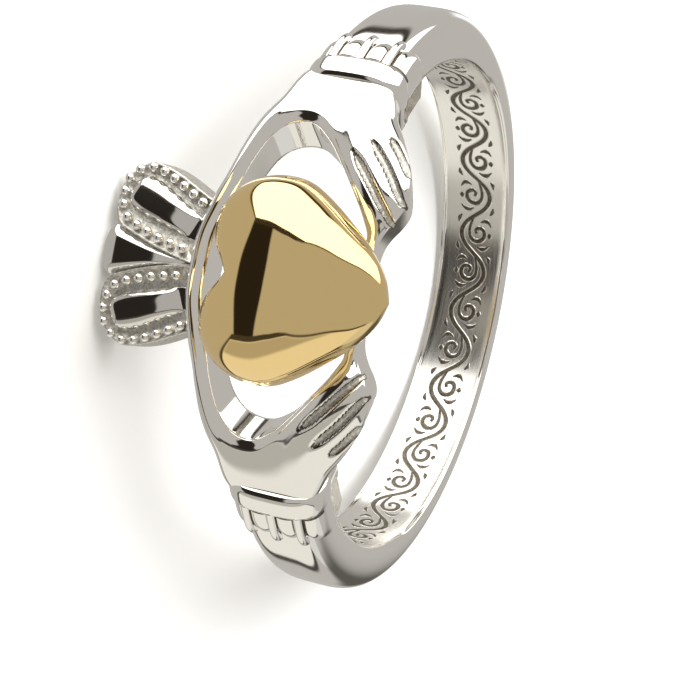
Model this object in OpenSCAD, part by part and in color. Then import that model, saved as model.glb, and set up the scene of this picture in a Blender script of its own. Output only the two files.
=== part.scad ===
// Claddagh ring: a silver band whose two cuffed hands hold a crowned gold heart.
// The ring lies as it rests by itself, on the crown's petals and the back of the band.
// Before it is laid down, Z is the finger's axis with the heart's tip up, and -Y is the head.

/* [Ring size] */
// Inner diameter of the band
inner_d = 17.3; // [15:0.1:20]

/* [Band] */
// Width of the band
band_w = 2.6; // [2:0.05:3]
// Thickness at the back
band_back_t = 1.3; // [1:0.05:1.6]
// Thickness that the taper would reach under the head
band_front_t = 1.9; // [1.7:0.05:2.1]
// Squareness of the rounded outer face
band_square = 4.2; // [2.5:0.1:6]

/* [Cuffs] */
// Angle from the head's middle to the hand side of a cuff
cuff_at = 38; // [36:0.5:42]
// Angle that the smooth collar spans
collar_span = 4; // [3:0.1:5]
// Angle that the ribbed sleeve spans
sleeve_span = 8; // [5:0.5:10]
// Width of the collar
cuff_w = 3.3; // [3:0.05:3.7]
// Height of the collar above the bore
cuff_h = 2.25; // [2.1:0.05:2.6]
// Diameter of the raised ribs
rib_d = 0.34; // [0.24:0.02:0.44]
// Spacing of the ribs
rib_pitch = 0.92; // [0.7:0.02:1]

/* [Hands] */
// Axial reach of the knuckles from the head's middle
hand_reach = 3.2; // [3.1:0.02:3.4]
// Height of the backs of the hands above the bore
hand_h = 2; // [1.9:0.05:2.1]
// Clearance that the hollow head leaves above the bore
hollow = 0.45; // [0.3:0.05:0.6]
// Axial shift of the head toward the heart's tip
head_shift = 0.2; // [0:0.05:0.3]
// Width of the grooves between the fingers
groove_w = 0.3; // [0.2:0.02:0.4]

/* [Crown] */
// Axial length from the head's middle to the petals' ends
crown_reach = 6.16; // [5.8:0.02:6.5]
// Width across the petals
crown_w = 5.84; // [5.4:0.02:6.2]
// Height of the beaded frames above the bore
crown_h = 1.68; // [1.5:0.02:1.8]
// Diameter of the beads
bead_d = 0.3; // [0.2:0.02:0.34]
// Beads along each petal
bead_n = 16; // [12:1:18]

/* [Heart] */
// Width across the lobes
heart_w = 6.46; // [6:0.02:6.6]
// Rise of the puffed face above the widest line
heart_rise = 2; // [1.2:0.05:2.4]
// Depth of the rim below the widest line
heart_rim = 0.5; // [0.3:0.05:0.55]

/* [Hidden] */
$fn = 96;
// Sides of the beads and of the finger grooves
bead_fn = 10;
groove_fn = 12;

silver = "#c8c8ca";
gold = "#e2bd5c";

bore_r = inner_d / 2;
// Radius at which angles on the head are read as lengths
head_r = bore_r + hand_h;
// The outer face turns round a line set toward the head, which thins the back of the band.
band_shift = (band_front_t - band_back_t) / 2;
band_t = (band_front_t + band_back_t) / 2;
// Depth to which the parts reach inside the bore before it is cut
bury = 0.4;
// Angles between which the underside of a hand comes down to the bore
wrist_from = 26;
wrist_to = 37;
sleeve_h = cuff_h - 0.2;
sleeve_w = cuff_w - 0.1;
cuff_square = 3;
cuff_side_h = 1.1;
// Gap between the heart and what carries it, filled by solder
solder = 0.04;
// Height of the bridge under the heart's tip and of the seats under its lobes
seat_h = 1.28;
seat_size = [0.9, 0.8];
seat_at = [1.75, -2.25];
heart_floor = bore_r + seat_h + solder;
heart_at = heart_floor + heart_rim;

// Shapes that several parts share

// Point on the head: angle from its middle, height above the bore and axial place.
function on_head(phi, h, v) =
    [(bore_r + h) * sin(phi), -(bore_r + h) * cos(phi), v + head_shift];

// The same for a point given by its distance across the head.
function across_head(x, h, v) = on_head(asin(x / (bore_r + h)), h, v);

function spline(a, b, c, d, t) =
    0.5 * (2 * b + (c - a) * t + (2 * a - 5 * b + 4 * c - d) * t * t
        + (3 * b - a - 3 * c + d) * t * t * t);

// A closed run of rows, refined to a number of points a row.
function smooth_loop(rows, steps) = let (n = len(rows))
    [for (i = [0 : n - 1], k = [0 : steps - 1])
        spline(rows[(i + n - 1) % n], rows[i], rows[(i + 1) % n], rows[(i + 2) % n], k / steps)];

// An open run of rows, refined in the same way.
function smooth_run(rows, steps) = let (n = len(rows))
    [for (i = [0 : n - 2], k = [0 : steps - (i == n - 2 ? 0 : 1)])
        spline(rows[max(i - 1, 0)], rows[i], rows[i + 1], rows[min(i + 2, n - 1)], k / steps)];

// The rows of one half followed by their mirror image, back to the first row.
function both_halves(rows) =
    concat(rows, [for (i = [len(rows) - 2 : -1 : 1]) [-rows[i][0], rows[i][1]]]);

function centre(ring) = [for (k = [0 : len(ring[0]) - 1]) let (s = [for (p = ring) p[k]])
    s * [for (p = ring) 1] / len(ring)];

// Band section as [height above the bore, axial place]: straight sides under a rounded top.
function dome_section(h, w, side_h, square, n = 16) =
    [for (i = [0 : n]) let (a = 180 * i / n)
        [side_h + (h - side_h) * pow(sin(a), 2 / square),
         w / 2 * sign(cos(a)) * pow(abs(cos(a)), 2 / square)]];

// Quads between two rings of points, as faces.
function skin(rings, n, closed) = let (m = len(rings))
    [for (i = [0 : m - (closed ? 1 : 2)], k = [0 : n - 1])
        let (j = (i + 1) % m, l = (k + 1) % n) each [
            [i * n + k, j * n + l, i * n + l],
            [i * n + k, j * n + k, j * n + l]]];

// Solid between a first and a last ring, each closed by a fan round its middle.
module lofted(rings) {
    n = len(rings[0]);
    m = len(rings);
    polyhedron(
        points = concat([for (r = rings) each r], [centre(rings[0]), centre(rings[m - 1])]),
        faces = concat(
            skin(rings, n, false),
            [for (k = [0 : n - 1]) [m * n, k, (k + 1) % n]],
            [for (k = [0 : n - 1]) [m * n + 1, (m - 1) * n + (k + 1) % n, (m - 1) * n + k]]));
}

// Solid of revolution about the finger's axis, from one angle to another.
module swept(from, to) {
    rotate([0, 0, from - 90])
        rotate_extrude(angle = to - from)
            children();
}

module mirror_pair() {
    children();
    mirror([1, 0, 0]) children();
}

// Band and cuffs

module shank() {
    start = cuff_at + collar_span / 2;
    inside = bore_r - band_shift - bury;
    translate([0, -band_shift, 0])
        swept(start, 360 - start)
            polygon(concat(
                [[inside, -band_w / 2], [inside, band_w / 2]],
                [for (p = dome_section(band_t, band_w, 0, band_square)) [bore_r + p[0], p[1]]]));
}

module cuff_profile(h, w) {
    inside = bore_r - bury;
    polygon(concat(
        [[inside, -w / 2 + 0.2], [inside, w / 2 - 0.2]],
        [for (p = dome_section(h, w, cuff_side_h, cuff_square)) [bore_r + p[0], p[1]]]));
}

module collar() {
    translate([0, 0, head_shift])
        swept(cuff_at, cuff_at + collar_span)
            cuff_profile(cuff_h, cuff_w);
}

module sleeve() {
    start = cuff_at + collar_span - 0.5;
    translate([0, 0, head_shift])
        swept(start, cuff_at + collar_span + sleeve_span)
            cuff_profile(sleeve_h, sleeve_w);
}

// A rib starts inside the collar and ends in a round knob just past the sleeve.
module rib(v) {
    start = cuff_at + collar_span / 2;
    end = cuff_at + collar_span + sleeve_span;
    side = pow(abs(2 * v / sleeve_w), cuff_square);
    h = cuff_side_h + (sleeve_h - cuff_side_h) * pow(1 - side, 1 / cuff_square);
    swept(start, end)
        translate([bore_r + h, v + head_shift])
            circle(d = rib_d);
    translate(on_head(end, h, v))
        sphere(d = 1.2 * rib_d);
}

module cuff() {
    collar();
    sleeve();
    for (i = [-1 : 1]) rib(i * rib_pitch);
}

// Hands, arc and bridge

// Half of the frame round the opening, from the crown's middle to the heart's tip.
// Angles are shares of cuff_at, axial places of hand_reach and heights of hand_h.
// [inner angle, inner place, outer angle, outer place, inner height, middle height, outer height]
FRAME = [
    [0.000, -0.869, 0.000, -1.016, 0.89, 0.91, 0.86],
    [0.142, -0.862, 0.153, -1.006, 0.89, 0.91, 0.86],
    [0.276, -0.794, 0.303, -0.944, 0.90, 0.92, 0.86],
    [0.397, -0.731, 0.442, -0.859, 0.90, 0.93, 0.87],
    [0.489, -0.688, 0.566, -0.806, 0.91, 0.95, 0.88],
    [0.579, -0.634, 0.684, -0.756, 0.92, 0.97, 0.88],
    [0.658, -0.569, 0.789, -0.688, 0.94, 1.00, 0.88],
    [0.718, -0.481, 0.900, -0.588, 0.96, 1.02, 0.86],
    [0.758, -0.375, 1.008, -0.500, 0.97, 1.03, 0.85],
    [0.774, -0.244, 1.053, -0.250, 0.98, 1.04, 0.90],
    [0.761, -0.112, 1.053, 0.062, 0.98, 1.04, 0.91],
    [0.718, 0.012, 1.042, 0.344, 0.98, 1.04, 0.88],
    [0.674, 0.112, 0.979, 0.488, 0.97, 1.04, 0.84],
    [0.632, 0.188, 0.882, 0.603, 0.97, 1.04, 0.84],
    [0.587, 0.266, 0.789, 0.734, 0.96, 1.03, 0.83],
    [0.542, 0.344, 0.705, 0.838, 0.95, 1.02, 0.83],
    [0.492, 0.428, 0.621, 0.922, 0.94, 1.00, 0.83],
    [0.439, 0.516, 0.542, 0.975, 0.92, 0.97, 0.82],
    [0.389, 0.588, 0.463, 0.994, 0.86, 0.92, 0.80],
    [0.339, 0.644, 0.389, 0.938, 0.78, 0.82, 0.76],
    [0.290, 0.684, 0.321, 0.850, 0.69, 0.71, 0.69],
    [0.224, 0.672, 0.250, 0.797, 0.64, 0.64, 0.64],
    [0.130, 0.640, 0.140, 0.785, 0.64, 0.64, 0.64],
    [0.000, 0.625, 0.000, 0.780, 0.64, 0.64, 0.64],
];

// Section across the frame, from under the opening's edge round to under the outer edge.
// [share of the width, further distance, share of the height, share of the doming]
SECTION = [
    [0.00, -0.10, 0.00, 0],
    [0.00, -0.10, 0.74, 0],
    [0.00, -0.04, 0.94, 0],
    [0.06, 0.00, 1.00, 0],
    [0.28, 0.00, 1.00, 0.8],
    [0.50, 0.00, 1.00, 1],
    [0.72, 0.00, 1.00, 0.8],
    [0.90, 0.00, 1.00, 0.3],
    [0.98, 0.00, 0.93, 0],
    [1.00, 0.00, 0.80, 0],
    [0.96, 0.00, 0.45, 0],
    [0.84, 0.00, 0.00, 0],
];

// Height of the frame's underside: hollow behind the fingers, sunk into the bore at the wrist.
function under_height(phi) =
    let (t = max(0, min(1, (abs(phi) - wrist_from) / (wrist_to - wrist_from))))
    hollow - (hollow + bury) * t * t * (3 - 2 * t);

// Ring of points across the frame at one row, with the angle's sign.
function frame_ring(row, side) =
    let (
        turn = PI / 180 * head_r * cuff_at,
        inner = [row[0] * turn, row[1] * hand_reach],
        outer = [row[2] * turn, row[3] * hand_reach],
        step = (outer - inner) / norm(outer - inner))
    [for (s = SECTION) let (
        p = inner + s[0] * (outer - inner) + s[1] * step,
        phi = side * p[0] * 180 / PI / head_r,
        low = under_height(phi),
        top = hand_h * (row[4] + (row[6] - row[4]) * s[0] + (row[5] - (row[4] + row[6]) / 2) * s[3]))
        on_head(phi, low + (top - low) * s[2], p[1])];

module hands_and_arc() {
    half = smooth_run(FRAME, 2);
    last = len(half) - 1;
    rings = concat(
        [for (row = half) frame_ring(row, 1)],
        [for (i = [last - 1 : -1 : 1]) frame_ring(half[i], -1)]);
    polyhedron(
        points = [for (r = rings) each r],
        faces = skin(rings, len(SECTION), true));
}

// Grooves between the fingers, as shares of cuff_at and hand_reach, with each one's height share.
// [angle at the knuckle, place at the knuckle, angle at the tip, place at the tip, height]
GROOVES = [
    [0.640, 0.360, 0.380, 0.850, 0.99],
    [0.692, 0.545, 0.456, 0.970, 0.97],
    [0.744, 0.672, 0.600, 0.925, 0.95],
];

module finger_groove(row) {
    from = on_head(row[0] * cuff_at, hand_h * row[4] + 0.05, row[1] * hand_reach);
    to = on_head(row[2] * cuff_at, hand_h * (row[4] - 0.05) + 0.05, row[3] * hand_reach);
    along = to - from;
    length = norm(along);
    translate(from)
        rotate([0, acos(along[2] / length), atan2(along[1], along[0])])
            rotate_extrude($fn = groove_fn)
                polygon([for (i = [0 : 8]) [groove_w / 2 * sin(i * 180 / 8), length * i / 8]]);
}

module seat() {
    translate([seat_at[0] - seat_size[0] / 2, -(bore_r + seat_h), seat_at[1] + head_shift - seat_size[1] / 2])
        cube([seat_size[0], seat_h - hollow, seat_size[1]]);
}

// Crown

// Outlines as shares of crown_w / 2 and crown_reach: [across, along].
PETAL = [
    [0.685, -0.440], [0.719, -0.478], [0.808, -0.571], [0.918, -0.683], [0.993, -0.797],
    [1.000, -0.870], [0.914, -0.935], [0.764, -0.984], [0.589, -1.000], [0.455, -0.997],
    [0.342, -0.978], [0.270, -0.950], [0.190, -0.862], [0.106, -0.748], [0.032, -0.620],
    [-0.030, -0.530], [-0.050, -0.440],
];
PETAL_FACE = [
    [0.260, -0.535], [0.310, -0.640], [0.370, -0.750], [0.445, -0.872], [0.520, -0.925],
    [0.640, -0.938], [0.760, -0.920], [0.832, -0.865], [0.805, -0.796], [0.675, -0.683],
    [0.531, -0.585], [0.430, -0.515], [0.340, -0.508],
];
WEDGE_HALF = [
    [0.000, -0.500], [0.060, -0.620], [0.130, -0.748], [0.210, -0.862], [0.270, -0.950],
    [0.250, -0.985], [0.150, -1.006], [0.000, -1.014],
];
WEDGE_FACE_HALF = [
    [0.000, -1.000], [0.100, -0.996], [0.180, -0.982], [0.205, -0.955], [0.140, -0.862],
    [0.075, -0.760], [0.030, -0.680], [0.000, -0.610],
];
// Line of the beads round a petal, from the outer side over the end to the inner bar.
BEAD_LINE = [
    [0.668, -0.528], [0.815, -0.665], [0.930, -0.797], [0.935, -0.886], [0.822, -0.955],
    [0.651, -0.972], [0.480, -0.955], [0.350, -0.910], [0.274, -0.820], [0.205, -0.715],
    [0.148, -0.585],
];

function crown_point(p) = [p[0] * crown_w / 2, p[1] * crown_reach];

// Plate with an outline seen from the head's front, bounded by two heights above the bore.
module curved_plate(low, high) {
    intersection() {
        rotate([90, 0, 0])
            linear_extrude(height = 2 * bore_r)
                translate([0, head_shift])
                    children();
        difference() {
            cylinder(r = bore_r + high, h = 4 * bore_r, center = true);
            cylinder(r = bore_r + low, h = 5 * bore_r, center = true);
        }
    }
}

// Bevelled cushion on an outline: its walls lean in to a slightly domed top.
// [height below the top, scale of the outline]
CUSHION = [[0.5, 1], [0.14, 1], [0.02, 0.78], [0, 0.4]];

module cushion(rows, top) {
    outline = [for (p = rows) crown_point(p)];
    mid = centre(outline);
    lofted([for (c = CUSHION) [for (p = outline) let (q = mid + (p - mid) * c[1])
        across_head(q[0], top - c[0], q[1])]]);
}

function line_length(line, i = 0) =
    i < len(line) - 1 ? norm(line[i + 1] - line[i]) + line_length(line, i + 1) : 0;

// Point at a distance along a line.
function along_line(line, s, i = 0) =
    let (piece = norm(line[i + 1] - line[i]))
    s <= piece || i == len(line) - 2
        ? line[i] + (line[i + 1] - line[i]) * s / piece
        : along_line(line, s - piece, i + 1);

module beads() {
    line = smooth_run([for (p = BEAD_LINE) crown_point(p)], 4);
    pitch = line_length(line) / (bead_n - 1);
    for (i = [0 : bead_n - 1]) {
        p = along_line(line, i * pitch);
        translate(across_head(p[0], crown_h + bead_d / 8, p[1]))
            sphere(d = bead_d, $fn = bead_fn);
    }
}

module petal() {
    curved_plate(hollow + 0.1, crown_h)
        polygon([for (p = smooth_run(PETAL, 2)) crown_point(p)]);
    cushion(smooth_loop(PETAL_FACE, 2), crown_h + 0.15);
    beads();
}

module wedge() {
    curved_plate(crown_h - 0.68, crown_h - 0.15)
        polygon([for (p = both_halves(smooth_run(WEDGE_HALF, 2))) crown_point(p)]);
    cushion(both_halves(smooth_run(WEDGE_FACE_HALF, 2)), crown_h + 0.05);
}

module crown() {
    mirror_pair() petal();
    wedge();
}

// Heart

// Half of the heart's widest line, as shares of heart_w / 2: [across, along].
HEART = [
    [0.000, -0.495], [0.124, -0.594], [0.294, -0.681], [0.495, -0.706], [0.681, -0.656],
    [0.842, -0.526], [0.954, -0.341], [1.000, -0.124], [0.975, 0.108], [0.851, 0.341],
    [0.666, 0.588], [0.449, 0.836], [0.223, 1.006], [0.000, 1.084],
];
// Point that the puffed face rises to.
heart_top = [0, 0.12];
heart_n = 10;

// The outline drawn in toward the top, where the notch fades into an egg.
function heart_ring(scale, z) = let (
    outline = both_halves(smooth_run(HEART, 3)),
    fade = 1 - scale)
    [for (p = outline) let (
        egg = [p[0], p[1] < 0 ? -0.66 * sqrt(max(0, 1 - p[0] * p[0])) : p[1]],
        soft = p + (egg - p) * fade,
        q = (heart_top + (soft - heart_top) * scale) * heart_w / 2)
        [q[0], -z, q[1] + head_shift]];

HEART_RINGS = concat(
    [heart_ring(0.93, heart_floor), heart_ring(0.985, heart_at - heart_rim / 2)],
    [for (i = [0 : heart_n - 1]) let (a = 90 * i / heart_n)
        heart_ring(pow(cos(a), 0.9), heart_at + heart_rise * pow(sin(a), 0.9))]);

module heart() {
    lofted(HEART_RINGS);
}

// Rest: the ring tips until the petals and the back of the band share the floor, and its
// footprint is centred on the origin

// Points of the ring's middle section that can touch the floor: [distance from the axis, axial place].
BACK_POINTS = [for (p = dome_section(band_t, band_w, 0, band_square)) [bore_r + p[0] - band_shift, p[1]]];
PETAL_POINTS = [for (p = smooth_run(PETAL, 2)) let (
    q = crown_point(p),
    r = bore_r + hollow + 0.1)
    [sqrt(r * r - q[0] * q[0]), q[1] + head_shift]];

function back_low(tilt) = min([for (p = BACK_POINTS) p[1] * cos(tilt) - p[0] * sin(tilt)]);
function petal_low(tilt) = min([for (p = PETAL_POINTS) p[1] * cos(tilt) + p[0] * sin(tilt)]);
function rest_tilt(low, high, n = 30) = let (mid = (low + high) / 2)
    n == 0 ? mid
    : petal_low(mid) < back_low(mid) ? rest_tilt(mid, high, n - 1)
    : rest_tilt(low, mid, n - 1);

tilt = rest_tilt(0, 45);
lift = -back_low(tilt);
back_y = max([for (p = BACK_POINTS) p[0] * cos(tilt) + p[1] * sin(tilt)]);
front_y = min([for (ring = HEART_RINGS, p = ring) p[1] * cos(tilt) + p[2] * sin(tilt)]);

module at_rest() {
    translate([0, -(back_y + front_y) / 2, lift])
        rotate([-tilt, 0, 0])
            children();
}

// Nodes

// The cast head between the cuffs, before the bore is cleared.
module head() {
    mirror_pair() seat();
    difference() {
        hands_and_arc();
        mirror_pair()
            for (row = GROOVES) finger_groove(row);
    }
    crown();
}

module silver_ring() {
    color(silver)
        at_rest()
            difference() {
                union() {
                    shank();
                    mirror_pair() cuff();
                    resize([0, 0, 0]) head();
                }
                cylinder(r = bore_r, h = 4 * bore_r, center = true);
            }
}

module gold_heart() {
    color(gold)
        at_rest()
            heart();
}

silver_ring();
gold_heart();
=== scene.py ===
"""Claddagh ring: a silver band whose two cuffed hands hold a crowned gold heart.

Shapes are worked out standing, where Z is the finger's axis with the heart's tip up and -Y is the
head, and are then laid down as the solids are: on the crown's petals and the back of the band.
Lengths in the tables are in millimetres unless a line says otherwise.
"""

import math
import types
from functools import partial

import bpy
import numpy as np
from mathutils import Matrix, Vector


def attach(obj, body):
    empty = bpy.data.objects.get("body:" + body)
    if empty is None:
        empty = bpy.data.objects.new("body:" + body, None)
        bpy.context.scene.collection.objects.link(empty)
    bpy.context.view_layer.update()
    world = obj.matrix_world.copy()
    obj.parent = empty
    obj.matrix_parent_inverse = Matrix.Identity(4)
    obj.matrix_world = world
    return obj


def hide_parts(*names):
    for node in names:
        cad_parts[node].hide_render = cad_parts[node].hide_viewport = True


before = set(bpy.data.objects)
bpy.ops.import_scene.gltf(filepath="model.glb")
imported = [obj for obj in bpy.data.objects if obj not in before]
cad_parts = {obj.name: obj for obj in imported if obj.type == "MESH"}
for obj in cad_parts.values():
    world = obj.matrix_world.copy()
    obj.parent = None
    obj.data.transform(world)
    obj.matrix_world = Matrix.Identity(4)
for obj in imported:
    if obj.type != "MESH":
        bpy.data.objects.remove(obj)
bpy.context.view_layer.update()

bl_info = {
    "name": "Claddagh Ring",
    "version": (1, 0, 0),
    "blender": (4, 5, 0),
    "location": "View3D > Sidebar > Ring",
    "description": "Builds a crowned heart ring held by two hands, its finishes and its studio",
    "category": "Add Mesh",
}

MM = 0.001

# Rest pose: tilt of the finger's axis, and the shift that lays the ring down
REST_TILT = math.radians(14.3522)
REST_COS, REST_SIN = math.cos(REST_TILT), math.sin(REST_TILT)
REST_SHIFT = (0.0, 1.13865, 3.53367)

# Main sizes, the same as those of the solids: radius of the bore, how far along the finger's axis
# the head's middle lies, reach of the hands along it, their height and that of the hollow under the
# head above the bore, angle in degrees where the cuffs start, width and reach of the crown, width of
# the heart, and the radius on which the head's outlines are laid out
BORE_R = 8.65
HEAD_SHIFT = 0.2
HAND_REACH = 3.2
HAND_H = 2.0
HOLLOW = 0.45
CUFF_AT = 38.0
CROWN_W = 5.84
CROWN_REACH = 6.16
HEART_W = 6.46
HEAD_R = BORE_R + HAND_H

# The band's points nearer to the axis than this are on its inner wall
INNER_WALL_R = BORE_R + 0.02

# How finely the pieces are meshed. Band: round it, over its outside, over its wall. Sleeve and
# collar: along it, over it. Then steps between the rows of the frame, of its section, of a groove,
# of the crown's outlines, of its bead lines, of the heart's outline and of the scroll's strokes;
# points round a crown piece; rings of a crown panel's top and of the heart's face; points along a
# rib and round it. A bead and a rib's round end: segments and rings
BAND_STEPS = (300, 44, 13)
SLEEVE_STEPS = (64, 220)
COLLAR_STEPS = (33, 48)
FRAME_STEPS, SECTION_STEPS, GROOVE_STEPS = 15, 9, 8
CROWN_STEPS, BEAD_LINE_STEPS, HEART_STEPS, SCROLL_STEPS = 24, 6, 12, 5
LOOP_POINTS = 400
PANEL_RINGS, HEART_RINGS = 40, 64
RIB_STEPS, RIB_SIDES = 14, 20
BEAD_BALL = {"Segments": 16, "Rings": 10}
RIB_BALL = {"Segments": 20, "Rings": 12}


# Placing and meshing


def lay_down(points):
    """Points of the standing ring, laid on the floor and turned to metres."""
    x, y, z = np.moveaxis(np.asarray(points, float), -1, 0)
    turned = np.stack([x, y * REST_COS + z * REST_SIN, z * REST_COS - y * REST_SIN], -1)
    return (turned + REST_SHIFT) * MM


def axis_distance(point):
    """Distance in mm of a laid-down point from the finger's axis."""
    x, y, z = (v / MM - shift for v, shift in zip(point, REST_SHIFT))
    return math.hypot(x, y * REST_COS - z * REST_SIN)


def on_head(phi, height, place):
    """Point by angle from the head's middle, height above the bore and axial place."""
    phi, height, place = np.broadcast_arrays(*(np.asarray(a, float) for a in (phi, height, place)))
    a, r = np.radians(phi), BORE_R + height
    return np.stack([r * np.sin(a), -r * np.cos(a), place + HEAD_SHIFT], -1)


def across_head(across, height, place):
    """The same, by distance across the head."""
    across, height = np.asarray(across, float), np.asarray(height, float)
    return on_head(np.degrees(np.arcsin(across / (BORE_R + height))), height, place)


def smooth(rows, steps, closed=False):
    """Rows refined by a spline that passes through them."""
    p = np.asarray(rows, float)
    n = len(p)
    index = np.arange(n if closed else n - 1)
    near = [(index + k) % n if closed else np.clip(index + k, 0, n - 1) for k in (-1, 0, 1, 2)]
    a, b, c, d = (p[k][:, None, :] for k in near)
    t = (np.arange(steps) / steps)[None, :, None]
    curve = 0.5 * (2 * b + (c - a) * t + (2 * a - 5 * b + 4 * c - d) * t**2
                   + (3 * b - a - 3 * c + d) * t**3)
    curve = curve.reshape(-1, p.shape[1])
    return curve if closed else np.vstack([curve, p[-1]])


def eased(rows, reach):
    """Rows averaged with their neighbours, up to reach rows away."""
    weight = np.hanning(2 * reach + 1)
    padded = np.pad(rows, ((reach, reach), (0, 0)), mode="reflect")
    return np.stack([np.convolve(column, weight / weight.sum(), "valid") for column in padded.T], -1)


def step(low, high, x):
    """Smooth rise from 0 at low to 1 at high."""
    t = np.clip((x - low) / (high - low), 0, 1)
    return t * t * (3 - 2 * t)


def grid_faces(rows, cols, wrap_rows=False, wrap_cols=False):
    """Quads of a grid of points, rows by cols."""
    i, j = np.meshgrid(np.arange(rows if wrap_rows else rows - 1),
                       np.arange(cols if wrap_cols else cols - 1), indexing="ij")
    i2, j2 = (i + 1) % rows, (j + 1) % cols
    quads = np.stack([i * cols + j, i * cols + j2, i2 * cols + j2, i2 * cols + j], -1)
    return quads.reshape(-1, 4).tolist()


def tube(rings):
    """Points and faces of a closed solid through equal rings, its two ends closed by fans."""
    rings = np.asarray(rings, float)
    m, n, _ = rings.shape
    points = np.vstack([rings.reshape(-1, 3), rings[0].mean(0), rings[-1].mean(0)])
    faces = grid_faces(m, n, wrap_cols=True)
    faces += [[m * n, (k + 1) % n, k] for k in range(n)]
    faces += [[m * n + 1, (m - 1) * n + k, (m - 1) * n + (k + 1) % n] for k in range(n)]
    return points, faces


def mirrored(part):
    """A part with its faces turned outward, and its mirror image on the other side of the head."""
    points, faces = outward(part)
    n = len(points)
    other = [[k + n for k in reversed(face)] for face in faces]
    return np.vstack([points, points * (-1, 1, 1)]), faces + other


def outward(part):
    """The same part with its faces turned to point out of it."""
    points, faces = part
    fans = np.array([(f[0], b, c) for f in faces for b, c in zip(f[1:-1], f[2:])])
    a, b, c = (points[fans[:, k]] for k in range(3))
    volume = (a * np.cross(b, c)).sum()
    return part if volume > 0 else (points, [face[::-1] for face in faces])


def other_finish(piece, material, marked):
    """Gives a piece one more material, on the faces whose points are all marked."""
    piece.data.materials.append(material)
    for face in piece.data.polygons:
        if all(marked[k] for k in face.vertices):
            face.material_index = len(piece.data.materials) - 1


def linked(name, data):
    """An object that holds some data, linked to the scene."""
    item = bpy.data.objects.new(name, data)
    bpy.context.scene.collection.objects.link(item)
    return item


def finished(piece, node):
    """Puts a finished piece on the root body and hides the solid that it stands in for."""
    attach(piece, "root")
    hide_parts(node)
    return piece


def make_piece(name, part, material, node="silver_ring", smooth_shading=True):
    """A laid-down piece from (points, faces) of the standing ring."""
    points, faces = outward(part)
    mesh = bpy.data.meshes.new(name)
    mesh.from_pydata(lay_down(points).tolist(), [], faces)
    mesh.validate()
    mesh.polygons.foreach_set("use_smooth", [smooth_shading] * len(mesh.polygons))
    mesh.materials.append(material)
    mesh.update()
    return finished(linked(name, mesh), node)


# Finishes


def from_hex(code, gain=1.0):
    """sRGB hex to the linear colour that shaders use, times a gain."""
    values = [int(code[k:k + 2], 16) / 255 for k in (1, 3, 5)]
    linear = [v / 12.92 if v <= 0.04045 else ((v + 0.055) / 1.055) ** 2.4 for v in values]
    return (*(gain * v for v in linear), 1.0)


def add_node(tree, kind, inputs=None, **settings):
    """Adds one node. An input takes a value, or a socket or a node whose first output feeds it."""
    new = tree.nodes.new(kind)
    for key, value in settings.items():
        setattr(new, key, value)
    for key, given in (inputs or {}).items():
        for value in given if isinstance(given, list) else [given]:
            if isinstance(value, bpy.types.Node):
                value = value.outputs[0]
            if isinstance(value, bpy.types.NodeSocket):
                tree.links.new(value, new.inputs[key])
            else:
                new.inputs[key].default_value = value
    return new


def new_material(name):
    """A material with an empty node tree, and that tree; without the tree once it is made."""
    old = bpy.data.materials.get(name)
    if old:
        return old, None
    material = bpy.data.materials.new(name)
    material.use_nodes = True
    material.node_tree.nodes.clear()
    return material, material.node_tree


def metal_noise(tree, size_mm, detail, roughness, closer=1.0):
    """Noise that is fixed to the metal, its features so many mm wide, and closer along Z."""
    place = add_node(tree, "ShaderNodeTexCoord").outputs["Object"]
    packed = add_node(tree, "ShaderNodeMapping", {"Vector": place, "Scale": (1.0, 1.0, closer)})
    return add_node(tree, "ShaderNodeTexNoise", {
        "Vector": packed, "Scale": 1 / (size_mm * MM), "Detail": detail, "Roughness": roughness})


def end_metal(tree, noise, strength, depth_mm, inputs):
    """Ends a metal's tree: its noise in relief on a metallic shader."""
    bump = add_node(tree, "ShaderNodeBump", {
        "Height": noise, "Strength": strength, "Distance": depth_mm * MM})
    shader = add_node(tree, "ShaderNodeBsdfPrincipled", {"Metallic": 1.0, "Normal": bump, **inputs})
    add_node(tree, "ShaderNodeOutputMaterial", {"Surface": shader})


# Tones of grained metal: where its noise turns from the pits' colour to the top's. Satin metal: how
# much its roughness differs from line to line
GRAIN_STOPS = (0.35, 0.62)
SATIN_SPREAD = (-0.05, 0.07)


def polished_metal(name, colour, roughness, ripple_mm, ripple):
    """Hand-buffed cast metal: mirror bright, with a faint ripple left by the buffing wheel."""
    material, tree = new_material(name)
    if tree:
        wave = metal_noise(tree, ripple_mm, detail=2.0, roughness=0.5)
        end_metal(tree, wave, strength=ripple, depth_mm=0.02,
                  inputs={"Base Color": from_hex(colour), "Roughness": roughness})
    return material


def grained_metal(name, light, dark, roughness, grain_mm, depth_mm):
    """As-cast metal left matte in the recesses: a fine sandy grain, darker in its pits."""
    material, tree = new_material(name)
    if tree:
        grain = metal_noise(tree, grain_mm, detail=4.0, roughness=0.6)
        tone = add_node(tree, "ShaderNodeValToRGB", {"Fac": grain})
        for stop, place, colour in zip(tone.color_ramp.elements, GRAIN_STOPS, (dark, light)):
            stop.position = place
            stop.color = from_hex(colour)
        end_metal(tree, grain, strength=0.7, depth_mm=depth_mm,
                  inputs={"Base Color": tone, "Roughness": roughness})
    return material


def ring_finish():
    """The colours and polish that the panel holds."""
    return bpy.context.scene.ring_finish


def polished_silver():
    """Sterling silver, buffed: near white, with soft reflections."""
    look = ring_finish()
    return polished_metal("polished_sterling_silver", look.silver, look.polish, ripple_mm=0.9,
                          ripple=0.06)


def darker_panel_silver():
    """Sterling silver of the crown's panels: a mirror a little softer than the rest, painted a shade
    darker, which stands in for the darker reflections that these panels show."""
    return polished_metal("silver_painted_darker_for_crown_panels", ring_finish().crown_panel_painted_darker, roughness=0.1,
                          ripple_mm=0.8, ripple=0.08)


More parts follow.
